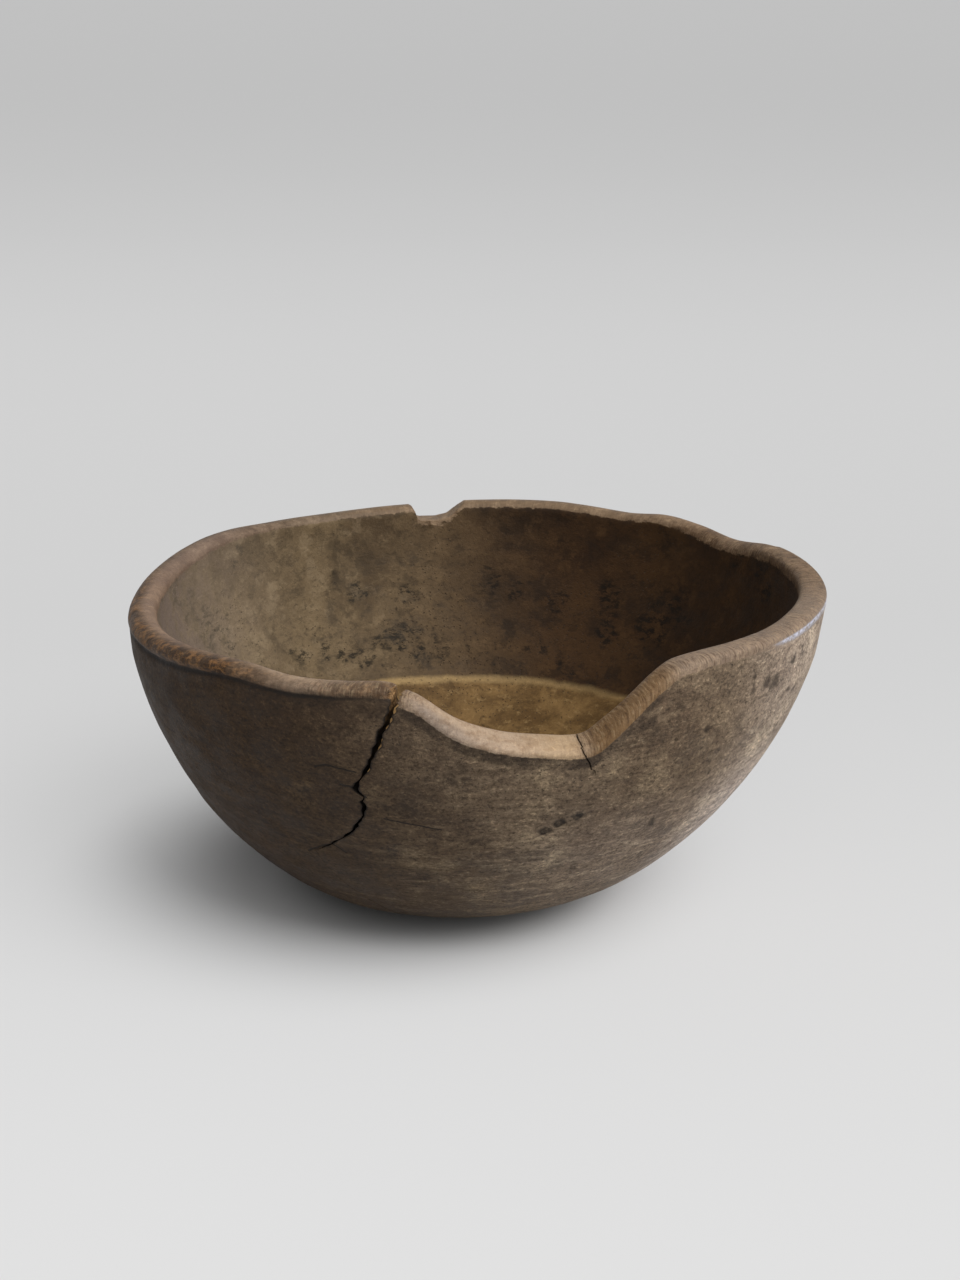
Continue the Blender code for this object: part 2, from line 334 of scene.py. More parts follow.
# The push fades out towards the middle of the dish and of the foot. The crack closes at the
# last row of the wall, inside and outside, and the rows beyond follow that row.
PUSHED_IN_DISH = (0.5, 1.0)
PUSHED_ON_BELLY = (0.3, 1.0)
calm = np.ones(ROWS)
calm[:DISH_ROWS] = eased(dish_shares, *PUSHED_IN_DISH)
calm[after_wall:] = np.concatenate([eased(belly, *PUSHED_ON_BELLY), np.zeros(FOOT_ROWS)])
tips = {DISH_ROWS: slice(0, DISH_ROWS), after_wall - 1: slice(after_wall, ROWS)}
for tip, beyond in tips.items():
    right_edge[tip] = left_edge[tip] = (right_edge[tip] + left_edge[tip]) / 2.0
    right_edge[beyond] = left_edge[beyond] = right_edge[tip]
from_right = 1.0 - eased(columns - SEAM, 0.0, PUSH_REACH)
from_left = 1.0 - eased(SEAM + 360.0 - columns, 0.0, PUSH_REACH)
turn = (columns[None, :]
        + (calm * (right_edge - SEAM))[:, None] * from_right
        + (calm * (left_edge - SEAM))[:, None] * from_left)

# The hairline, too, has its column pushed onto it, turned a little further inside the wall.
HAIRLINE_SHIFT = -0.3
HAIRLINE_TWIST = 1.2
HAIRLINE_SPLINTERS = 0.3
HAIRLINE_REACH = 12.0
hair_turn = (crack_turn(SIDE_CRACK_MM, SIDE_CRACK_ANGLE, heights, shares, 0)
             + HAIRLINE_TWIST * shares + HAIRLINE_SHIFT
             + HAIRLINE_SPLINTERS * ragged(0.0024, 14))
hair_turn[:DISH_ROWS] = hair_turn[DISH_ROWS]
hair_turn[after_wall:] = hair_turn[after_wall - 1]
hair_push = (hair_turn - turn[:, hairline]) * calm
from_hairline = np.abs(columns - SIDE_CRACK_ANGLE)
turn = turn + hair_push[:, None] * (1.0 - eased(from_hairline, 0.0, HAIRLINE_REACH))

# The lip: a rounded crest, lower and squarer where it is worn flat, and nearly flat where it
# is broken. In the dip it slopes to the outside, and its ends droop beside the crack.
WORN_FLATTER = 0.0018
WORN_SQUARER = 1.2
BREAK_DEPTHS = (0.0, 0.005)
DIP_DEPTHS = (0.016, 0.026)
FLAT_AT_RIGHT = 0.6
FLAT_STARTS = (-66.0, -55.0)
FLAT_ENDS = 20.0
DIP_SLOPE = 2.0 * MM
LEFT_DROOP = 1.6 * MM
LEFT_DROOP_REACH = 2.0 * MM
RIGHT_DROOP = 0.2 * MM
RIGHT_DROOP_REACH = MM
rim_turn = stepped(turn, columns > SEAM + 180.0)
broken = eased(chip_drop(turn[is_lip]) - crest_drop(turn[is_lip]), *BREAK_DEPTHS)
dipped = eased(crest_drop(rim_turn[is_lip]), *DIP_DEPTHS)
at_right = eased(rim_turn[is_lip], *FLAT_STARTS)
flat = np.maximum(dipped, FLAT_AT_RIGHT * at_right * (rim_turn[is_lip] < FLAT_ENDS))
rise = LIP_RISE - WORN_FLATTER * flat - (LIP_RISE - CHIP_RISE) * broken
square = LIP_SQUARENESS + WORN_SQUARER * flat + (CHIP_SQUARENESS - LIP_SQUARENESS) * broken
cosine, sine = np.cos(over)[:, None], np.sin(over)[:, None]
across_lip = np.sign(cosine) * np.abs(cosine) ** (2.0 / square)
height = np.repeat(heights[:, None], COLUMNS + 1, axis=1)
share = np.repeat(shares[:, None], COLUMNS + 1, axis=1)
share[is_lip] = (1.0 - across_lip) / 2.0
height[is_lip] = SHOULDER + (LIP_RISE - rise) + rise * sine ** (2.0 / square)
wears = (row_index >= DISH_ROWS) & (row_index < after_wall)
level = height.copy()
level[wears] = worn_height(height[wears], share[wears], rim_turn[wears])
from_right_end = np.radians(turn - right_edge[:, None]) * RIM_RADIUS
from_left_end = np.radians(left_edge[:, None] + 360.0 - turn) * RIM_RADIUS
droop = (LEFT_DROOP * np.exp(-from_left_end / LEFT_DROOP_REACH)
         + RIGHT_DROOP * np.exp(-from_right_end / RIGHT_DROOP_REACH))
level[is_lip] -= (droop * eased(height, SHOULDER - MM, HEIGHT))[is_lip]
level[is_lip] -= DIP_SLOPE * dipped * (1.0 - share[is_lip])
radius = wall_radius(level, share)
radius[:DISH_ROWS] = (dish_shares * RIDGE_RADIUS)[:, None]
radius[-FOOT_ROWS:] = (foot_shares * FOOT_RADIUS)[:, None]
angle = np.radians(turn)
points = np.stack([radius * np.cos(angle) + lean(level), radius * np.sin(angle), level], axis=-1)

# The grid's normals, along which the wood is cut, and each point's depth under the crest.
tangent_down = np.gradient(points, axis=0)
tangent_round = np.gradient(points, axis=1)
normal = np.cross(tangent_down, tangent_round)
normal[0], normal[-1] = (0.0, 0.0, 1.0), (0.0, 0.0, -1.0)
normal /= np.maximum(np.linalg.norm(normal, axis=-1, keepdims=True), 1e-12)
crest_level = HEIGHT - np.maximum(crest_drop(rim_turn), chip_drop(turn))
under_crest = crest_level - level
outer_share = np.where(is_lip[:, None], 1.0 - share, (row_index >= after_lip)[:, None] * 1.0)

# The lip's lower edge: an angle, and how far under the crest it lies outside. Inside it lies
# at one depth, but higher at the back and in the chip. Both edges fade over a soft stretch.
LIP_EDGE_MM = (
    (-101, 5.0), (-95, 6.0), (-70, 6.5), (-55, 4.5), (-38, 5.5), (-20, 7.0), (40, 5.0), (160, 5.0),
    (190, 7.5), (215, 7.5), (240, 5.0), (259, 5.0),
)
INNER_EDGE_MM = 6.0
LESS_AT_BACK_MM = 3.0
LESS_IN_CHIP_MM = 1.6
BACK_STRETCH = (20.0, 60.0, 130.0, 165.0)
CHIP_DEPTHS = (0.0, 0.004)
OUTER_FADE = 0.0013
MORE_INSIDE = 0.0016
SHARPER_AT_BACK = 0.0009
edge_turns, edge_depths = np.array(LIP_EDGE_MM).T
lip_bottom = np.interp(turn, edge_turns, edge_depths * MM)
at_back = between(turn, *BACK_STRETCH)
in_chip = eased(chip_drop(turn) - crest_drop(turn), *CHIP_DEPTHS)
inner_bottom = (INNER_EDGE_MM - LESS_AT_BACK_MM * at_back - LESS_IN_CHIP_MM * in_chip) * MM
lip_bottom = lip_bottom * outer_share + inner_bottom * (1.0 - outer_share)
soft_edge = OUTER_FADE + (MORE_INSIDE - SHARPER_AT_BACK * at_back) * (1.0 - outer_share)
lip_share = (1.0 - eased(under_crest, lip_bottom - soft_edge, lip_bottom + soft_edge)) * wears[:, None]

# Hollows of the knife and of wear, half as deep on the lip: their depth and their breadth.
HOLLOWS_MM = ((0.75, 45), (0.35, 16), (0.18, 6))
LESS_ON_LIP = 0.5
cut = np.zeros(level.shape)
for seed, (deep, wide) in enumerate(HOLLOWS_MM, start=1):
    cut += deep * clumps(points, wide * MM, seed)
cut = cut * (1.0 - LESS_ON_LIP * lip_share) * MM

# The bead under the left rim: an undercut groove, and the wall set back below it.
BEAD_MM = 7.4
BEAD_HIGHER_MM = 2.6
BEAD_WIDTH = 0.0016
UNDERCUT = 1.5 * MM
SET_BACK = 0.5 * MM
SET_BACK_REACH = 0.004
BEAD_STARTS = (190.0, 205.0)
BEAD_CLIMBS = (215.0, 240.0)
BEAD_HALVES = (245.0, 258.0)
bead = eased(turn, *BEAD_STARTS) * (1.0 - 0.5 * eased(turn, *BEAD_HALVES))
bead_height = (BEAD_MM - BEAD_HIGHER_MM * eased(turn, *BEAD_CLIMBS)) * MM
cut += UNDERCUT * bell(under_crest, bead_height, BEAD_WIDTH) * bead * outer_share
set_back = eased(under_crest, bead_height, bead_height + SET_BACK_REACH) * wears[:, None]
cut += SET_BACK * set_back * bead * outer_share

# The crack's edges are worn round, and the hairline is a groove one column wide.
WORN_EDGE = 0.35 * MM
WORN_EDGE_REACH = 0.8 * MM
split = (row_index > DISH_ROWS) & (row_index < after_wall - 1)
gap = np.radians(right_edge - left_edge) * RIM_RADIUS
from_crack = np.abs(np.minimum(from_right_end, from_left_end))
open_share = (split * np.clip(gap / MM, 0.0, 1.0))[:, None]
cut += WORN_EDGE * np.exp(-from_crack / WORN_EDGE_REACH) * open_share
_, hair_depths, hair_widths = np.array(SIDE_CRACK_MM).T
hair_width = np.interp(HEIGHT - level[:, hairline], hair_depths * MM, hair_widths / hair_widths[0])
hair_width[~wears] = 0.0
cut[:, hairline] += SIDE_CRACK_DEPTH * hair_width

# The foot stays flat. The belly is then made a little fuller, inside the solid's box, so that
# the hollows don't draw its outline in.
FULLER_BELLY = 0.95 * MM
LESS_IN_FRONT = 0.4
FRONT_TURN = -80.0
FRONT_WIDTH = 35.0
FOOT_TOP = 0.006
DISH_TOP = 0.03
BELLY_STARTS = (0.004, 0.020)
BELLY_ENDS = (0.122, 0.140)
in_dish = (row_index < first_lip)[:, None] * (level < DISH_TOP)
cut *= eased(level, 0.0, FOOT_TOP) + in_dish
cut = np.clip(cut, 0.0, None)
fuller = (1.0 - LESS_IN_FRONT * bell(turn, FRONT_TURN, FRONT_WIDTH)) * eased(level, *BELLY_STARTS)
cut -= FULLER_BELLY * outer_share * fuller * (1.0 - eased(level, *BELLY_ENDS))
cut[0], cut[-FOOT_ROWS:] = 0.0, 0.0
points -= normal * cut[..., None]

# Torn faces of the crack: level rows from the inner edge of the gap to its outer edge.
climb = WALL_ROWS + half_lip + 1
inner_rows = DISH_ROWS + np.arange(climb)
outer_rows = after_wall - 1 - np.arange(climb)
weights = np.linspace(0.0, 1.0, TORN_COLUMNS + 2)[1:-1]


def torn_face(column):
    """Points between the inner and the outer edge of the gap: inner * (1 - w) + outer * w."""
    inner, outer = points[inner_rows, column], points[outer_rows, column]
    return inner[:, None] * (1.0 - weights[:, None]) + outer[:, None] * weights[:, None]


faces_at_ends = [torn_face(0), torn_face(COLUMNS)]
grid_count = ROWS * (COLUMNS + 1)
vertex_of = np.arange(grid_count).reshape(ROWS, COLUMNS + 1)
vertex_of[~split, COLUMNS] = vertex_of[~split, 0]
vertex_of[0], vertex_of[-1] = vertex_of[0, 0], vertex_of[-1, 0]


def torn_vertices(column, number):
    """Vertex numbers of one torn face, with its two edges. Row 0 is shared by both faces."""
    torn = grid_count + number * climb * TORN_COLUMNS + np.arange(climb * TORN_COLUMNS)
    torn = torn.reshape(climb, TORN_COLUMNS)
    torn[0] = grid_count + np.arange(TORN_COLUMNS)
    torn[-1] = vertex_of[inner_rows[-1], column]
    edges = vertex_of[inner_rows, column][:, None], vertex_of[outer_rows, column][:, None]
    return np.concatenate([edges[0], torn, edges[1]], axis=1)


def triangles_of(numbers):
    """Two triangles for each cell of a grid of vertex numbers, without the collapsed ones."""
    a, b = numbers[:-1, :-1].ravel(), numbers[1:, :-1].ravel()
    c, d = numbers[1:, 1:].ravel(), numbers[:-1, 1:].ravel()
    made = np.concatenate([np.stack([a, b, c], axis=1), np.stack([a, c, d], axis=1)])
    whole = (made[:, 0] != made[:, 1]) & (made[:, 1] != made[:, 2]) & (made[:, 0] != made[:, 2])
    return made[whole]


triangles = np.concatenate([
    triangles_of(vertex_of),
    triangles_of(torn_vertices(0, 0)[:, ::-1]),
    triangles_of(torn_vertices(COLUMNS, 1)),
])
all_points = np.concatenate([points.reshape(-1, 3)] + [face.reshape(-1, 3) for face in faces_at_ends])

# Where each finish lies, in three values at a time: lip, inside and depth under the bead, then
# bead, torn wood and painted shade in the cracks and the groove, then the rubbed dip, the scorched
# lip, and the slope of the dip, which runs below 0 along the polished streak on the right lip,
# where a reflection of the sky is painted.
CRACK_SHADE_WIDTH = 0.7 * MM
SHADE_IN_GROOVE = 0.35
CRACK_SHADE_STARTS = (0.003, 0.010)
RUBBED_STRETCH = (-103.0, -96.0, -76.0, -71.0)
RUBBED_AT_LEFT = 0.8
LEFT_RUB_TURN = 243.0
LEFT_RUB_WIDTH = 9.0
SCORCHED_OUTSIDE = (0.30, 0.75)
SCORCH_BOTTOM = 0.010
SCORCH_STARTS = (170.0, 186.0)
SCORCH_WEAKENS = (228.0, 242.0)
SCORCH_WEAKER = 0.6
SLOPE_STRETCH = (-74.0, -70.0, -64.0, -58.0)
STREAK_DEPTH = 0.0044
STREAK_WIDTH = 0.0019
STREAK_STRETCH = (-46.0, -35.0, -5.0, 10.0)
inside_share = np.where(is_lip[:, None], share, (row_index < first_lip)[:, None] * 1.0)
zones = np.stack([lip_share, inside_share, under_crest - bead_height], axis=-1)
# Painted shade: dark along the crack's edges, in the hairline and in the groove under the bead.
recess_shade = (bell(from_crack, 0.0, CRACK_SHADE_WIDTH) * open_share * eased(under_crest, *CRACK_SHADE_STARTS)
        + SHADE_IN_GROOVE * bell(under_crest, bead_height + MM, BEAD_WIDTH) * bead * outer_share)
recess_shade[:, hairline] += hair_width
recess_shade[:, [hairline - 1, hairline + 1]] += SHADE_IN_GROOVE * hair_width[:, None]
marks = np.stack([bead * outer_share, np.zeros(level.shape), np.clip(recess_shade, 0.0, 1.0)], axis=-1)
rubbed = between(turn, *RUBBED_STRETCH) + RUBBED_AT_LEFT * bell(turn, LEFT_RUB_TURN, LEFT_RUB_WIDTH)
scorched = (eased(outer_share, *SCORCHED_OUTSIDE) * (1.0 - eased(under_crest, bead_height, SCORCH_BOTTOM))
            * eased(turn, *SCORCH_STARTS) * (1.0 - SCORCH_WEAKER * eased(turn, *SCORCH_WEAKENS)))
# The polished streak is glossier, and a reflection of the sky is painted on it.
streak = bell(under_crest, STREAK_DEPTH, STREAK_WIDTH) * outer_share * between(turn, *STREAK_STRETCH)
wear = np.stack([rubbed, scorched, between(turn, *SLOPE_STRETCH) - streak], axis=-1)


def wall_point(turn_degrees, height_mm, share):
    """The point of the wall at an angle and a height: radius times (cosine, sine), leaned."""
    level = np.asarray(height_mm) * MM
    radius, angle = wall_radius(level, share), np.radians(turn_degrees)
    return np.stack([radius * np.cos(angle) + lean(level), radius * np.sin(angle), level], axis=-1)


STAIN_WARP = 0.011
COARSE_LUMPS = 0.007
FINE_LUMPS = 0.0035
FINE_SHARE = 0.6
MEAN_WARP = 0.8
warp = np.stack([
    clumps(points, COARSE_LUMPS, 20 + k) + FINE_SHARE * clumps(points, FINE_LUMPS, 30 + k) - MEAN_WARP
    for k in range(3)], axis=-1)
warped = points + STAIN_WARP * warp


def spotted(spots, share):
    """1 at each spot, falling off as a bell of its own width, on coordinates that are warped
    by random lumps, so no stain is round. A spot is angle, height and width.
    """
    most = np.zeros((ROWS, COLUMNS + 1))
    for turn_degrees, height_mm, width_mm in spots:
        away = np.linalg.norm(warped - wall_point(turn_degrees, height_mm, share), axis=-1)
        most = np.maximum(most, bell(away, 0.0, width_mm * MM))
    return most


# Stains: dark mottles inside, grouped over the ridge and at the right, and a few outside,
# with pale patches. Each is an angle, a height in millimetres and a width in millimetres.
INSIDE_STAINS = (
    (135, 82, 5), (128.5, 78.5, 4), (124, 79, 5), (122, 74, 4), (118, 77, 5), (115.5, 76.4, 5),
    (113.3, 71, 4), (111.7, 84, 6), (108.5, 80.7, 5), (104.4, 83, 6), (101.5, 75.7, 4), (97.2, 79, 5),
    (97.3, 74, 3), (91, 71.7, 3), (116.7, 108, 5), (121, 112, 5), (105, 102, 7), (147.4, 137.6, 6),
    (161.7, 111.4, 9), (168.3, 142, 4), (161.3, 144.6, 3), (86, 109, 6), (79, 106, 7), (70.7, 101.5, 7),
    (57.3, 103.3, 8), (60.3, 108.8, 6), (42, 112, 8), (39.6, 103, 8), (44, 96, 9), (46.6, 105, 7),
    (55, 89.6, 8), (71.8, 77.7, 4), (73.7, 73, 3), (65.7, 69.7, 3), (60.7, 67.4, 3), (83, 70, 3),
    (13.5, 135, 8), (18.3, 140, 6), (27.4, 142.5, 6), (172, 136, 7), (166, 127, 8), (160, 113, 8),
    (155, 103, 7), (178, 139, 5),
)
OUTSIDE_STAINS = (
    (-94.3, 112, 3), (-92.3, 109.3, 3), (-90.6, 104.4, 3), (-87.3, 73.6, 2.5), (-91.8, 97.1, 2.5),
    (-133.3, 119.3, 2.5), (-112.7, 125.8, 2.5), (-136.4, 70.9, 2.5), (-139, 62.3, 2.5),
    (-43.5, 137, 3), (-49, 139.5, 3), (-56, 138.8, 3), (-52.6, 120, 3), (-48.7, 116, 3),
    (-32.3, 137.7, 3), (-28.7, 138.6, 3), (-28.4, 123, 3), (-32.7, 120.5, 3), (-57.7, 136.6, 3),
    (-61.7, 88.7, 3), (-56.2, 73.3, 3), (-38, 128, 6), (-64, 128, 6), (-100, 92, 6),
)
PALE_PATCHES = (
    (-79.9, 76, 7), (-80, 90.2, 5), (-79.6, 111, 5), (-68.6, 111, 5), (-93.4, 59.7, 6), (-87, 46.2, 6),
    (-76, 74.3, 5), (-24.3, 137.7, 5), (-44, 65.5, 8), (-41.5, 74.7, 7), (-35, 100, 9), (-60, 100, 8),
    (-104, 100, 5), (-118, 95, 6), (-125, 105, 5), (-75, 60, 8), (-100, 66, 7),
)
UNDER_DIP_STRETCH = (-102.0, -99.0, -66.0, -58.0)
UNDER_DIP_DEPTH = 0.0022
UNDER_DIP_WIDTH = 0.0034
UNDER_DIP_SHADE = 0.9
WINDOW_STRETCH = (-52.0, -30.0, 5.0, 45.0)
GREYED_TURN = 182.0
GREYED_WIDTH = 26.0
GREYED_ABOVE = (0.070, 0.100)
on_inside = (row_index < first_lip + half_lip)[:, None]
# Painted shade: a dark band just under the dip's lip, on the outside.
shade_under_dip = UNDER_DIP_SHADE * bell(under_crest, lip_bottom + UNDER_DIP_DEPTH, UNDER_DIP_WIDTH)
shade_under_dip = shade_under_dip * wears[:, None] * between(turn, *UNDER_DIP_STRETCH)
greyed = bell(turn, GREYED_TURN, GREYED_WIDTH) * eased(level, *GREYED_ABOVE)
# The first value holds the stains and the painted shade under the dip's lip; the third holds the greyed
# wood inside, and outside the painted sheen towards the window.
stains_shade_and_sheen = np.stack([
    np.where(on_inside, spotted(INSIDE_STAINS, 1.0), np.maximum(spotted(OUTSIDE_STAINS, 0.0), shade_under_dip)),
    np.where(on_inside, 0.0, spotted(PALE_PATCHES, 0.0)),
    np.where(on_inside, greyed, between(turn, *WINDOW_STRETCH)),
], axis=-1)

# Coordinates for the fibres: a place on a cylinder, and the way along the section.
FIBRE_RADIUS = 0.15
length = np.concatenate([np.zeros((1, COLUMNS + 1)),
                         np.cumsum(np.linalg.norm(np.diff(points, axis=0), axis=-1), axis=0)])
grain = np.stack([FIBRE_RADIUS * np.cos(angle), FIBRE_RADIUS * np.sin(angle), length], axis=-1)


def with_torn(values, torn_value=(0.0, 0.0, 0.0)):
    """The grid's values in one list, and one value for every point of the torn faces."""
    rest = np.tile(np.array(torn_value, float), (2 * climb * TORN_COLUMNS, 1))
    return np.concatenate([values.reshape(-1, 3), rest])


# The torn wood is left clean near the rim, and painted shade darkens it further down the crack.
TORN_SHADE_STARTS = (0.010, 0.030)
torn_depth = np.tile(HEIGHT - faces_at_ends[0][..., 2].ravel(), 2)
torn_marks = with_torn(marks, (0.0, 1.0, 0.0))
torn_marks[grid_count:, 2] = eased(torn_depth, *TORN_SHADE_STARTS)
torn_grain = with_torn(grain)
torn_grain[grid_count:] = all_points[grid_count:]
used, triangles = np.unique(triangles, return_inverse=True)
triangles = triangles.reshape(-1, 3)


def mesh_from(name, vertices, corners):
    """A smooth mesh of triangles, filled straight from the arrays."""
    mesh = bpy.data.meshes.new(name)
    mesh.vertices.add(len(vertices))
    mesh.vertices.foreach_set("co", vertices.astype(np.float32).ravel())
    mesh.loops.add(corners.size)
    mesh.loops.foreach_set("vertex_index", corners.astype(np.int32).ravel())
    mesh.polygons.add(len(corners))
    mesh.polygons.foreach_set("loop_start", np.arange(0, corners.size, 3, dtype=np.int32))
    mesh.update(calc_edges=True)
    mesh.validate()
    mesh.shade_smooth()
    return mesh


def placed(name, data):
    """A new object in the scene for a mesh, a lamp or a camera."""
    made = bpy.data.objects.new(name, data)
    bpy.context.scene.collection.objects.link(made)
    return made


SHARP_FROM = math.radians(50.0)
bowl_mesh = mesh_from("carved_bowl", all_points[used], triangles)
bowl_mesh.set_sharp_from_angle(angle=SHARP_FROM)
for name, values in (("zones", with_torn(zones)), ("marks", torn_marks), ("grain", torn_grain),
                     ("wear", with_torn(wear)), ("stains_shade_and_sheen", with_torn(stains_shade_and_sheen))):
    stored = bowl_mesh.attributes.new(name, "FLOAT_VECTOR", "POINT")
    stored.data.foreach_set("vector", values[used].astype(np.float32).ravel())
bowl = placed("carved_bowl", bowl_mesh)


def add(kind, inputs=None, **settings):
    """A new node in the tree that is being built, which the name tree holds. An input is set to
    a value or linked to a socket.
    """
    made = tree.nodes.new(kind)
    for name, value in settings.items():
        setattr(made, name, value)
    for name, value in (inputs or {}).items():
        if isinstance(value, bpy.types.NodeSocket):
            tree.links.new(value, made.inputs[name])
        else:
            made.inputs[name].default_value = value
    return made


def clouds(place, size, detail, rough, twist=0.0):
    """A cloudy pattern from 0 to 1, with lumps about size metres across."""
    return add("ShaderNodeTexNoise", {
        "Vector": place, "Scale": 0.5 / size, "Detail": detail, "Roughness": rough,
        "Distortion": twist}).outputs["Fac"]


def stretched(place, scale, shift):
    """The same coordinates, drawn out and moved for another pattern."""
    inputs = {"Vector": place, "Scale": scale, "Location": shift}
    return add("ShaderNodeMapping", inputs).outputs["Vector"]


def ramp(value, low, high, least=0.0, most=1.0):
    """Least below low, most above high, eased between them."""
    return add("ShaderNodeMapRange", {
        "Value": value, "From Min": low, "From Max": high, "To Min": least, "To Max": most},
        interpolation_type="SMOOTHSTEP").outputs["Result"]


def worked(operation, first, second):
    """Two values added, subtracted or compared, as the operation says."""
    return add("ShaderNodeMath", {0: first, 1: second}, operation=operation).outputs[0]


def times(first, *others):
    """The product of two or more values."""
    for other in others:
        first = worked("MULTIPLY", first, other)
    return first


def vectors(operation, first, second):
    """Two vectors added, subtracted or multiplied, or their dot product or distance."""
    made = add("ShaderNodeVectorMath", {0: first, 1: second}, operation=operation)
    return made.outputs["Value" if operation in ("DOT_PRODUCT", "DISTANCE") else "Vector"]


def away_from(value, middle):
    """How far a value lies from a middle one: |value - middle|."""
    return worked("ABSOLUTE", worked("SUBTRACT", value, middle), 0.0)


def parts_of(vector):
    """The three parts of a vector."""
    return add("ShaderNodeSeparateXYZ", {0: vector}).outputs


def attribute(name):
    """The vector that the mesh keeps under a name."""
    return add("ShaderNodeAttribute", attribute_name=name).outputs["Vector"]


def blended(share, under, above, blend="MIX"):
    """One colour laid over another by a share from 0 to 1."""
    made = add("ShaderNodeMix", {0: share}, data_type="RGBA", blend_type=blend)
    for index, colour in ((6, under), (7, above)):
        if isinstance(colour, bpy.types.NodeSocket):
            tree.links.new(colour, made.inputs[index])
        else:
            made.inputs[index].default_value = (*colour, 1.0)
    return made.outputs[2]


def layered(base, layers):
    """Colours laid over a base in turn. Each is eased in as a pattern goes from one value to
    another, up to a most share.
    """
    for pattern, start, full, most, colour in layers:
        base = blended(ramp(pattern, start, full, 0.0, most), base, colour)
    return base


wood = bpy.data.materials.new("weathered_wood")
wood.use_nodes = True
tree = wood.node_tree
shader = tree.nodes["Principled BSDF"]
place = add("ShaderNodeTexCoord").outputs["Object"]
x, y, z = parts_of(place)
around = attribute("grain")
lip_zone, inner_zone, under_bead = parts_of(attribute("zones"))
beaded, torn, recess_shaded = parts_of(attribute("marks"))
rubbed_share, scorched_share, dip_slope_and_glint = parts_of(attribute("wear"))
stained_and_shaded, paled, greyed_and_sheen = parts_of(attribute("stains_shade_and_sheen"))

# Patterns, from the broad ones to the fine ones.
broad = clouds(place, 0.040, 5.0, 0.6, 0.4)
patches = clouds(stretched(place, (1, 1, 1.4), (3, 1, 2)), 0.010, 8.0, 0.68, 0.15)
streaks = clouds(stretched(place, (1, 1, 7), (1, 2, 3)), 0.010, 6.0, 0.68)
mottle = clouds(stretched(place, (1, 1, 0.8), (5, 2, 8)), 0.0055, 6.0, 0.68, 0.2)
fibres = clouds(stretched(around, (14, 14, 1.6), (2, 0, 5)), 0.005, 5.0, 0.65, 0.3)
flecks = clouds(stretched(place, (1, 1, 1.9), (2, 9, 4)), 0.0026, 5.0, 0.75)
pores = add("ShaderNodeTexVoronoi", {"Vector": place, "Scale": 420.0}).outputs["Distance"]
speckle = clouds(stretched(place, (1, 1, 1.3), (7, 5, 1)), 0.0009, 3.0, 0.8)

# Fine splits beside the crack, a long scratch, and three gouges in a row. They are drawn on the
# crack's plane, whose coordinates wobble a little: millimetres across, and the height.
FINE_SPLITS_MM = (
    ((-13.5, 102.9), (-7.9, 102.2)),
    ((-23.7, 109.8), (-18.9, 111.7), (-5.4, 110.2)),
    ((-18.1, 64.3), (-20.3, 66.0), (-24.5, 69.0)),
    ((-24.9, 67.5), (-31.0, 64.5), (-38.0, 60.0)),
    ((-5.7, 99.5), (-2.8, 98.0)),
)
SCRATCH_MM = ((3.6, 87.1), (14.0, 85.4), (26.3, 82.7))
FINE_LINE_WIDTH = 0.0006
FINE_LINE_SHARE = 0.9
GOUGES_MM = ((-77.2, 80.5), (-75.2, 84.3), (-72.3, 87.1))   # each an angle and a height
GOUGE_START_MM = np.array((-0.7, -0.6))
GOUGE_END_MM = np.array((0.8, 0.5))
GOUGE_WIDTH = 0.0027
WOBBLE = 0.0012
WOBBLE_SCALE = 300.0
plane = math.radians(MAIN_CRACK_ANGLE)
sideways = np.array((-math.sin(plane), math.cos(plane), 0.0))
across_plane = vectors("DOT_PRODUCT", place, sideways)
on_plane = add("ShaderNodeCombineXYZ", {"X": across_plane, "Y": z}).outputs[0]
rough_lines = add("ShaderNodeTexNoise", {"Vector": place, "Scale": WOBBLE_SCALE})
wobble = vectors("MULTIPLY", rough_lines.outputs["Color"], (WOBBLE, WOBBLE, 0.0))
drawn = vectors("ADD", on_plane, wobble)


def thin_line(path_mm, width):
    """1 along a line drawn in millimetres on the crack's plane, and 0 beyond width from it.

    For each stretch it is the distance from a point to the segment: |p - a - d * h|, where
    h is (p - a) . d / (d . d), held between 0 and 1. Half of the wobble, its mean, is added.
    """
    ends = np.array([(across, height, 0.0) for across, height in path_mm]) * MM
    ends[:, :2] += WOBBLE / 2.0
    share = 0.0
    for start, end in zip(ends[:-1], ends[1:]):
        reach = end - start
        offset = vectors("SUBTRACT", drawn, start)
        along_it = vectors("DOT_PRODUCT", offset, reach / (reach @ reach))
        held = add("ShaderNodeClamp", {"Value": along_it}).outputs[0]
        nearest = add("ShaderNodeVectorMath", {0: reach, "Scale": held}, operation="SCALE")
        away = vectors("DISTANCE", offset, nearest.outputs[0])
        share = worked("MAXIMUM", share, ramp(away, width * 0.3, width, 1.0, 0.0))
    return share


thin_lines = 0.0
for path_mm in (*FINE_SPLITS_MM, SCRATCH_MM):
    thin_lines = worked("MAXIMUM", thin_lines, thin_line(path_mm, FINE_LINE_WIDTH))
gouges = 0.0
for turn_degrees, height_mm in GOUGES_MM:
    middle = np.array((wall_point(turn_degrees, height_mm, 0.0) @ sideways / MM, height_mm))
    gouges = worked("MAXIMUM", gouges, thin_line(
        (middle + GOUGE_START_MM, middle + GOUGE_END_MM), GOUGE_WIDTH))
fine_lines = worked("MAXIMUM", times(thin_lines, FINE_LINE_SHARE),
                    times(gouges, ramp(flecks, 0.44, 0.62, 1.0, 0.55)))
fine_lines = times(fine_lines, ramp(inner_zone, 0.0, 0.4, 1.0, 0.0))
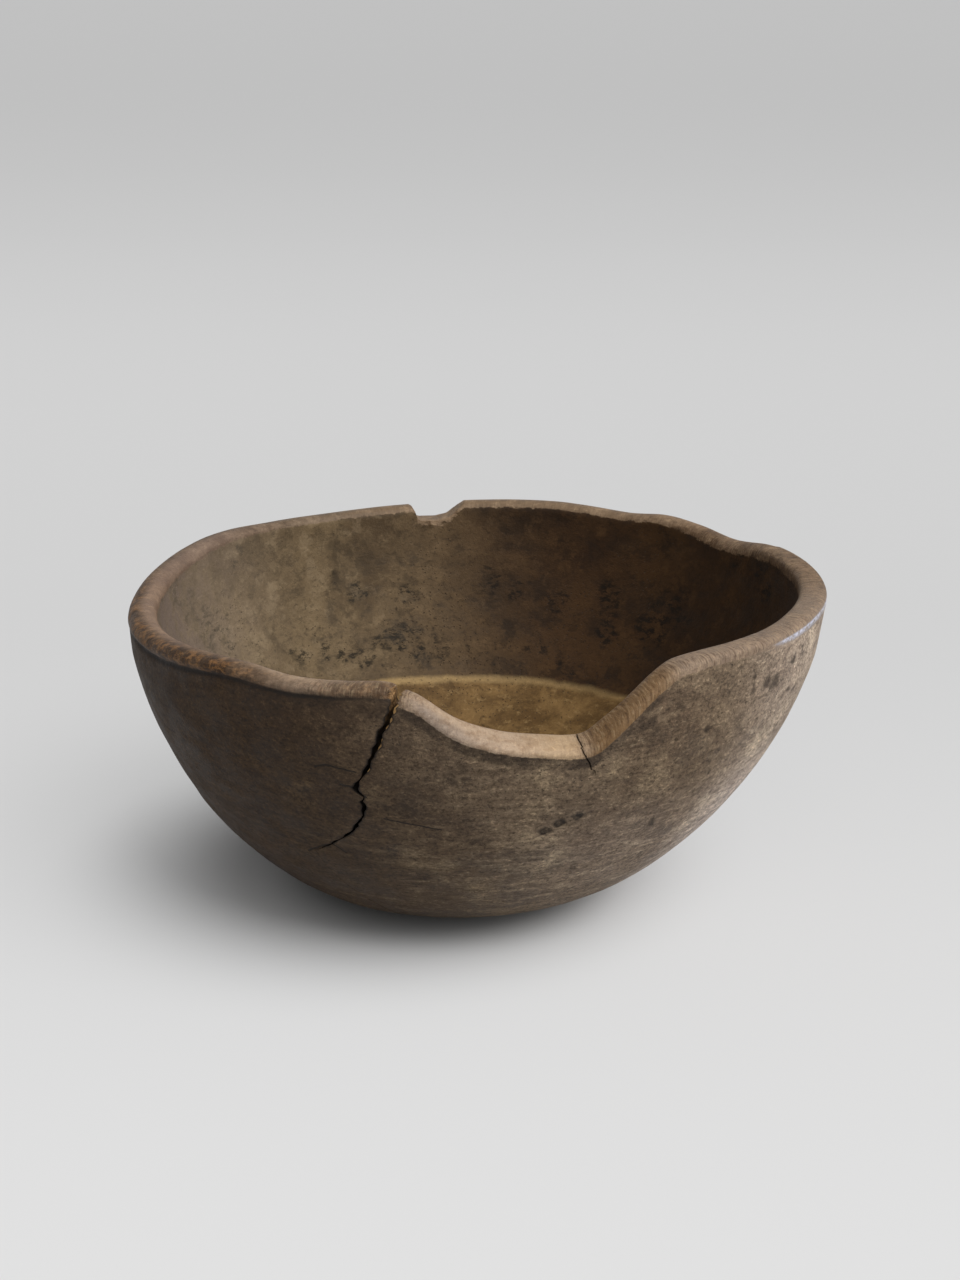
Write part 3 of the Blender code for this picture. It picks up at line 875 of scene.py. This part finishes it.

# Outside: grey-brown with tan patches and flecks. Painted shade darkens it at the left, and a
# painted sheen lightens it towards the window at the right and low down at the right.
outside = blended(ramp(broad, 0.38, 0.62), (0.128, 0.086, 0.054), (0.192, 0.137, 0.089))
outside = layered(outside, (
    (patches, 0.50, 0.66, 0.36, (0.330, 0.244, 0.156)),  # tan patches
    (patches, 0.49, 0.36, 0.45, (0.066, 0.044, 0.028)),  # dark between them
    (mottle, 0.44, 0.34, 0.42, (0.055, 0.036, 0.023)),  # dark mottles
    (mottle, 0.55, 0.68, 0.26, (0.380, 0.284, 0.185)),  # pale mottles
    (streaks, 0.48, 0.62, 0.38, (0.076, 0.051, 0.032)),  # dark grain
))
pale_grain = times(ramp(streaks, 0.48, 0.36, 0.0, 0.38), ramp(z, 0.115, 0.060))
outside = blended(pale_grain, outside, (0.440, 0.335, 0.215))
pale_wood = times(paled, ramp(flecks, 0.36, 0.60, 0.1, 0.7))
outside = blended(pale_wood, outside, (0.420, 0.315, 0.195))
outside = layered(outside, (
    (flecks, 0.47, 0.35, 0.55, (0.048, 0.032, 0.021)),  # dark flecks
    (flecks, 0.54, 0.68, 0.36, (0.420, 0.318, 0.206)),  # pale flecks
))
# Painted reflection of the pale floor: the outside is lighter low down at the right.
low_right_sheen = times(ramp(z, 0.105, 0.060), ramp(x, -0.01, 0.07))
outside = blended(low_right_sheen, outside, (1.52, 1.60, 1.82), "MULTIPLY")
# Painted shade: the outside darkens towards the left, the side away from the light.
shade_at_left = ramp(x, 0.04, -0.10, 0.0, 0.84)
outside = blended(shade_at_left, outside, (0.130, 0.070, 0.020), "MULTIPLY")
# Painted sheen: the outside grows lighter and bluer towards the window at the right.
outside = blended(greyed_and_sheen, outside, (2.40, 2.62, 3.10), "MULTIPLY")
# Dark stains outside, and the painted shade under the dip's lip.
outer_stain_and_shade = times(ramp(stained_and_shaded, 0.15, 0.75), ramp(mottle, 0.34, 0.58, 0.15, 0.85))
outside = blended(outer_stain_and_shade, outside, (0.040, 0.027, 0.018))

# Inside: olive brown with dark mottles, greyer at the left, with painted shade darkening it to the right.
inside = blended(ramp(broad, 0.38, 0.62), (0.100, 0.067, 0.034), (0.185, 0.131, 0.070))
inside = layered(inside, (
    (patches, 0.51, 0.66, 0.48, (0.290, 0.216, 0.128)),  # tan patches
    (patches, 0.48, 0.36, 0.55, (0.050, 0.034, 0.017)),  # dark between them
    (mottle, 0.47, 0.36, 0.50, (0.050, 0.034, 0.017)),  # dark mottles
    (mottle, 0.54, 0.66, 0.36, (0.290, 0.216, 0.130)),  # pale mottles
    (flecks, 0.47, 0.35, 0.50, (0.055, 0.038, 0.020)),  # dark flecks
))
greyer = times(greyed_and_sheen, ramp(mottle, 0.36, 0.56, 0.1, 1.0))
inside = blended(greyer, inside, (0.105, 0.073, 0.064))
inner_stain = times(ramp(stained_and_shaded, 0.08, 0.65), ramp(flecks, 0.54, 0.42, 0.12, 0.95))
inside = blended(inner_stain, inside, (0.030, 0.022, 0.011))
# Painted shade: the inside darkens towards the right, where its wall faces away from the light.
inside = blended(ramp(x, -0.15, 0.06), inside, (0.28, 0.19, 0.12), "MULTIPLY")
inside = blended(ramp(x, -0.09, -0.15, 0.0, 0.30), inside, (0.330, 0.260, 0.190))

# The golden dish, and the pale line of its ridge, which wanders up and down a little.
GOLD_STARTS = RIDGE_HEIGHT + 0.0018
GOLD_IS_FULL = RIDGE_HEIGHT + 0.0004
RIDGE_LINE = RIDGE_HEIGHT + 0.0010
golden = blended(ramp(patches, 0.36, 0.64), (0.102, 0.055, 0.017), (0.218, 0.128, 0.047))
golden = layered(golden, (
    (mottle, 0.47, 0.37, 0.5, (0.070, 0.038, 0.012)),  # dark mottles
    (flecks, 0.54, 0.68, 0.4, (0.360, 0.235, 0.100)),  # pale flecks
))
wandering = worked("ADD", z, times(mottle, 0.0030))
wandering = worked("ADD", wandering, times(worked("SUBTRACT", broad, 0.5), 0.004))
inside = blended(ramp(wandering, GOLD_STARTS, GOLD_IS_FULL), inside, golden)
ridge_line = times(ramp(away_from(wandering, RIDGE_LINE), 0.0002, 0.0026, 0.85, 0.0),
                   ramp(x, -0.05, 0.09, 1.0, 0.40))
inside = blended(ridge_line, inside, (0.350, 0.235, 0.102))

# Lip: brown with flecks, with a painted sheen towards the window, and paler at the back and inside at the
# left.
lip = blended(ramp(patches, 0.38, 0.62), (0.096, 0.052, 0.025), (0.225, 0.146, 0.088))
lip = layered(lip, (
    (flecks, 0.48, 0.36, 0.65, (0.052, 0.027, 0.013)),  # dark flecks
    (speckle, 0.48, 0.34, 0.45, (0.052, 0.030, 0.016)),  # dark speckle
    (flecks, 0.54, 0.66, 0.45, (0.400, 0.275, 0.165)),  # pale flecks
))
# Painted sheen: the lip is paler at the front right, towards the window.
window_sheen = times(ramp(x, 0.04, 0.09), ramp(y, 0.0, -0.06, 0.0, 0.45))
lip = blended(window_sheen, lip, (0.360, 0.272, 0.205))
lip = blended(ramp(y, 0.09, 0.15, 0.0, 0.28), lip, (0.360, 0.262, 0.165))
left_inner = times(ramp(x, -0.10, -0.145), ramp(inner_zone, 0.2, 0.7, 0.0, 0.45))
lip = blended(left_inner, lip, (0.300, 0.200, 0.145))
back_left = times(ramp(x, -0.04, -0.09), ramp(y, -0.02, 0.06))
lip = blended(back_left, lip, (0.80, 0.84, 0.90), "MULTIPLY")

# The rubbed lip of the dip is pale, golden at its right end, and has painted shade outside at its left.
rubbed_wood = blended(ramp(flecks, 0.36, 0.58), (0.330, 0.222, 0.140), (0.440, 0.320, 0.220))
lip = blended(rubbed_share, lip, rubbed_wood)
right_end = times(rubbed_share, ramp(x, 0.010, 0.038, 0.0, 0.6))
lip = blended(right_end, lip, (0.420, 0.285, 0.155))
# Painted shade on the outer, lower part of the dip's lip at its left.
left_outer_shade = times(rubbed_share, ramp(x, 0.020, -0.020), ramp(inner_zone, 0.50, 0.10))
lip = blended(left_outer_shade, lip, (0.60, 0.63, 0.70), "MULTIPLY")
lip = blended(ramp(dip_slope_and_glint, 0.0, 1.0, 0.0, 0.8), lip, (0.200, 0.112, 0.046))

# The left rim is scorched rust brown over its bead, fibres run across the dry stretches of the
# lip, and on the polished streak at the right a bluish white reflection of the sky is painted.
charred = blended(ramp(flecks, 0.44, 0.62), (0.034, 0.016, 0.006), (0.205, 0.098, 0.034))
lip = blended(times(scorched_share, ramp(mottle, 0.42, 0.58, 1.0, 0.65)), lip, charred)
dry = times(ramp(rubbed_share, 0.55, 1.0, 1.0, 0.25), ramp(x, -0.085, -0.065, 0.12, 1.0),
            ramp(y, 0.05, 0.12, 1.0, 0.35))
dark_fibres = times(ramp(fibres, 0.52, 0.62), times(dry, 0.60))
lip = blended(dark_fibres, lip, (0.075, 0.040, 0.020))
pale_fibres = times(ramp(fibres, 0.48, 0.38), times(dry, 0.26))
lip = blended(pale_fibres, lip, (0.480, 0.360, 0.215))
# Painted reflection: a bluish white glint of the sky along the polished streak.
sky_glint = times(ramp(dip_slope_and_glint, -0.35, -0.90, 0.0, 0.85), ramp(flecks, 0.40, 0.52, 0.2, 1.0))
lip = blended(sky_glint, lip, (0.680, 0.700, 0.850))

# The surfaces are joined, with a flecked edge to the lip. The speckle is weaker inside and on
# the lip, the pits and the fine lines are dark, and painted shade darkens the groove under the bead and
# the cracks.
colour = blended(inner_zone, outside, inside)
lip_edge = worked("ADD", lip_zone, times(worked("SUBTRACT", flecks, 0.5), 1.6))
colour = blended(ramp(lip_edge, 0.36, 0.64), colour, lip)
torn_wood = blended(ramp(fibres, 0.4, 0.6), (0.300, 0.180, 0.080), (0.160, 0.085, 0.035))
colour = blended(torn, colour, torn_wood)
coarse = times(ramp(inner_zone, 0.0, 1.0, 1.0, 0.25), ramp(lip_zone, 0.0, 1.0, 1.0, 0.35))
dark_speckle = times(ramp(speckle, 0.49, 0.33, 0.0, 0.80), coarse)
colour = blended(dark_speckle, colour, (0.30, 0.28, 0.26), "MULTIPLY")
pale_speckle = times(ramp(speckle, 0.53, 0.70), coarse)
colour = blended(pale_speckle, colour, (1.85, 1.85, 1.80), "MULTIPLY")
pits = times(ramp(pores, 0.10, 0.22, 1.0, 0.0), ramp(broad, 0.5, 0.6), ramp(lip_zone, 0.0, 0.5, 1.0, 0.0))
colour = blended(times(pits, 0.6), colour, (0.030, 0.022, 0.016))
colour = blended(fine_lines, colour, (0.018, 0.012, 0.008))
# Painted shade: a crisp dark line in the groove under the bead.
groove = away_from(worked("ADD", under_bead, times(patches, 0.0030)), 0.0019)
groove = times(ramp(groove, 0.0004, 0.0017, 0.90, 0.0), beaded)
colour = blended(groove, colour, (0.012, 0.008, 0.006))
# Painted shade in the cracks, the hairline and the groove under the bead.
colour = blended(recess_shaded, colour, (0.010, 0.007, 0.005))
tree.links.new(colour, shader.inputs["Base Color"])

# The wood is dull, a little less so on the lip, and glossier on the polished streak.
roughness = worked("ADD", ramp(patches, 0.35, 0.65, 0.58, 0.76), times(lip_zone, -0.14))
roughness = worked("ADD", roughness, ramp(dip_slope_and_glint, -0.8, 0.0, -0.22, 0.0))
tree.links.new(roughness, shader.inputs["Roughness"])
tree.links.new(ramp(dip_slope_and_glint, -0.8, 0.0, 0.8, 0.2), shader.inputs["Specular IOR Level"])

# Relief: specks and patches stand out, and the fine lines, the pits and the fibres lie deeper.
relief = worked("ADD", times(speckle, 0.40), times(patches, 0.55))
for lowered in (times(fine_lines, 0.8), times(pits, 0.5), times(fibres, lip_zone, times(dry, 0.6))):
    relief = worked("SUBTRACT", relief, lowered)
bump = add("ShaderNodeBump", {"Strength": 0.7, "Distance": 0.0012, "Height": relief})
tree.links.new(bump.outputs["Normal"], shader.inputs["Normal"])
bowl_mesh.materials.append(wood)
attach(bowl, "root")
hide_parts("bowl")

# The floor: matt pale paper that runs back level and sweeps up into a wall behind the bowl.
# Its profile is carried sideways as one sheet, without a visible corner.
FLOOR_FRONT = -60.0
SWEEP_START = 2.5
SWEEP_RADIUS = 15.0
WALL_TOP = 16.0
SHEET_HALF_WIDTH = 60.0
BEND_POINTS = 25
bend = np.linspace(0.0, math.pi / 2, BEND_POINTS)
profile = np.concatenate([
    [[FLOOR_FRONT, 0.0]],
    np.stack([SWEEP_START + SWEEP_RADIUS * np.sin(bend), SWEEP_RADIUS * (1.0 - np.cos(bend))], axis=1),
    [[SWEEP_START + SWEEP_RADIUS, WALL_TOP]],
])
sheet = np.array([[(x, y, z) for y, z in profile] for x in (SHEET_HALF_WIDTH, -SHEET_HALF_WIDTH)])
numbers = np.arange(sheet.shape[0] * sheet.shape[1]).reshape(sheet.shape[:2])
paper_mesh = mesh_from("paper_sweep", sheet.reshape(-1, 3), triangles_of(numbers))
paper_sweep = placed("paper_sweep", paper_mesh)
paper = bpy.data.materials.new("pale_paper")
paper.use_nodes = True
tree = paper.node_tree
paper_shader = tree.nodes["Principled BSDF"]
paper_shader.inputs["Roughness"].default_value = 0.9
paper_shader.inputs["Specular IOR Level"].default_value = 0.0


def seen_share():
    """1 for what the camera sees, straight or in a gloss or through glass, and 0 for the rest."""
    path = add("ShaderNodeLightPath").outputs
    share = worked("MAXIMUM", path["Is Camera Ray"], path["Is Glossy Ray"])
    return worked("MAXIMUM", share, path["Is Transmission Ray"])


# The paper is paler in front than behind, and greyer in the light that it throws on the bowl.
# A shadow is painted into its colour under the bowl's belly, and what the camera sees of it glows a
# little, a painted light that lightens the bowl's shadow away from its middle but not under the belly.
PAPER_NEAR = (0.79, 0.79, 0.79)
PAPER_BEHIND = (0.64, 0.64, 0.64)
PAPER_FAR = (0.51, 0.51, 0.51)
PAPER_UNSEEN = (0.25, 0.25, 0.25)
FOOT_PLACE = (-0.015, -0.01, 0.0)
SHADOW_PLACE = (-0.047, 0.004, 0.0)
MOST_GLOW = 0.68
spot = add("ShaderNodeTexCoord").outputs["Object"]
back = parts_of(spot)[1]
pale = blended(ramp(back, -0.7, 0.5), PAPER_NEAR, PAPER_BEHIND)
pale = blended(ramp(back, 1.0, 6.0), pale, PAPER_FAR)
seen = seen_share()
# Painted shadow: the paper's colour darkens under the bowl's belly.
belly_shadow = ramp(vectors("DISTANCE", spot, FOOT_PLACE), 0.092, 0.045)
shaded = blended(times(belly_shadow, 0.5), pale, (0.0, 0.0, 0.0))
paper_colour = blended(seen, PAPER_UNSEEN, shaded)
tree.links.new(paper_colour, paper_shader.inputs["Base Color"])
# Painted light: the paper glows for the camera, more with distance from the middle of the bowl's shadow.
glow = add("ShaderNodeEmission", {"Color": pale}).outputs[0]
from_shadow = vectors("DISTANCE", spot, SHADOW_PLACE)
past_shadow = ramp(from_shadow, 0.067, 0.178, 0.0, MOST_GLOW)
glow_share = times(seen, past_shadow, worked("SUBTRACT", 1.0, belly_shadow))
lit_paper = add("ShaderNodeMixShader", {0: glow_share, 1: paper_shader.outputs[0], 2: glow}).outputs[0]
tree.links.new(lit_paper, tree.nodes["Material Output"].inputs["Surface"])
paper_mesh.materials.append(paper)

# The light: one broad soft skylight over the bowl's front right, and a pale room that is
# brighter towards a wide window in front of the bowl.
SKYLIGHT_TURN = math.radians(-42.0)
SKYLIGHT_RISE = math.radians(52.0)
SKYLIGHT_BREADTH = math.radians(44.0)
SKYLIGHT_STRENGTH = 1.8
TOWARDS_WINDOW = (0.58, -0.74, 0.34)
WINDOW_STRENGTH = 1.30
CEILING_STRENGTH = 0.24
HORIZON_STRENGTH = 0.02
SEEN_STRENGTH = 0.62         # the room as the camera sees it
lamp = bpy.data.lights.new("skylight", "SUN")
lamp.energy = SKYLIGHT_STRENGTH
lamp.angle = SKYLIGHT_BREADTH
skylight = placed("skylight", lamp)
skylight.rotation_euler = (0.0, math.pi / 2 - SKYLIGHT_RISE, SKYLIGHT_TURN)
room = bpy.data.worlds.new("room")
room.use_nodes = True
tree = room.node_tree
direction = add("ShaderNodeTexCoord").outputs["Generated"]
upward = parts_of(direction)[2]
to_window = vectors("DOT_PRODUCT", direction, TOWARDS_WINDOW)
from_above = ramp(upward, 0.0, 1.0, HORIZON_STRENGTH, CEILING_STRENGTH)
from_window = ramp(to_window, 0.2, 1.0, 0.0, WINDOW_STRENGTH)
room_light = worked("ADD", from_above, from_window)
seen = seen_share()
unseen = worked("SUBTRACT", 1.0, seen)
room_strength = worked("ADD", times(room_light, unseen), times(seen, SEEN_STRENGTH))
tree.links.new(room_strength, tree.nodes["Background"].inputs["Strength"])
tree.nodes["Background"].inputs["Color"].default_value = (1.0, 1.0, 1.0, 1.0)
bpy.context.scene.world = room

# The camera: a little above the rim, tilted down, as the photograph was taken.
CAMERA_PLACE = (0.0013, -0.83064, 0.37771)
CAMERA_TILT = math.radians(72.7)
LENS = 50.625
camera_data = bpy.data.cameras.new("camera")
camera_data.lens = LENS
camera_data.sensor_width = 36.0
camera_data.sensor_fit = "AUTO"
camera = placed("camera", camera_data)
camera.location = CAMERA_PLACE
camera.rotation_euler = (CAMERA_TILT, 0.0, 0.0)
bpy.context.scene.camera = camera
bpy.context.scene.view_settings.view_transform = "Standard"
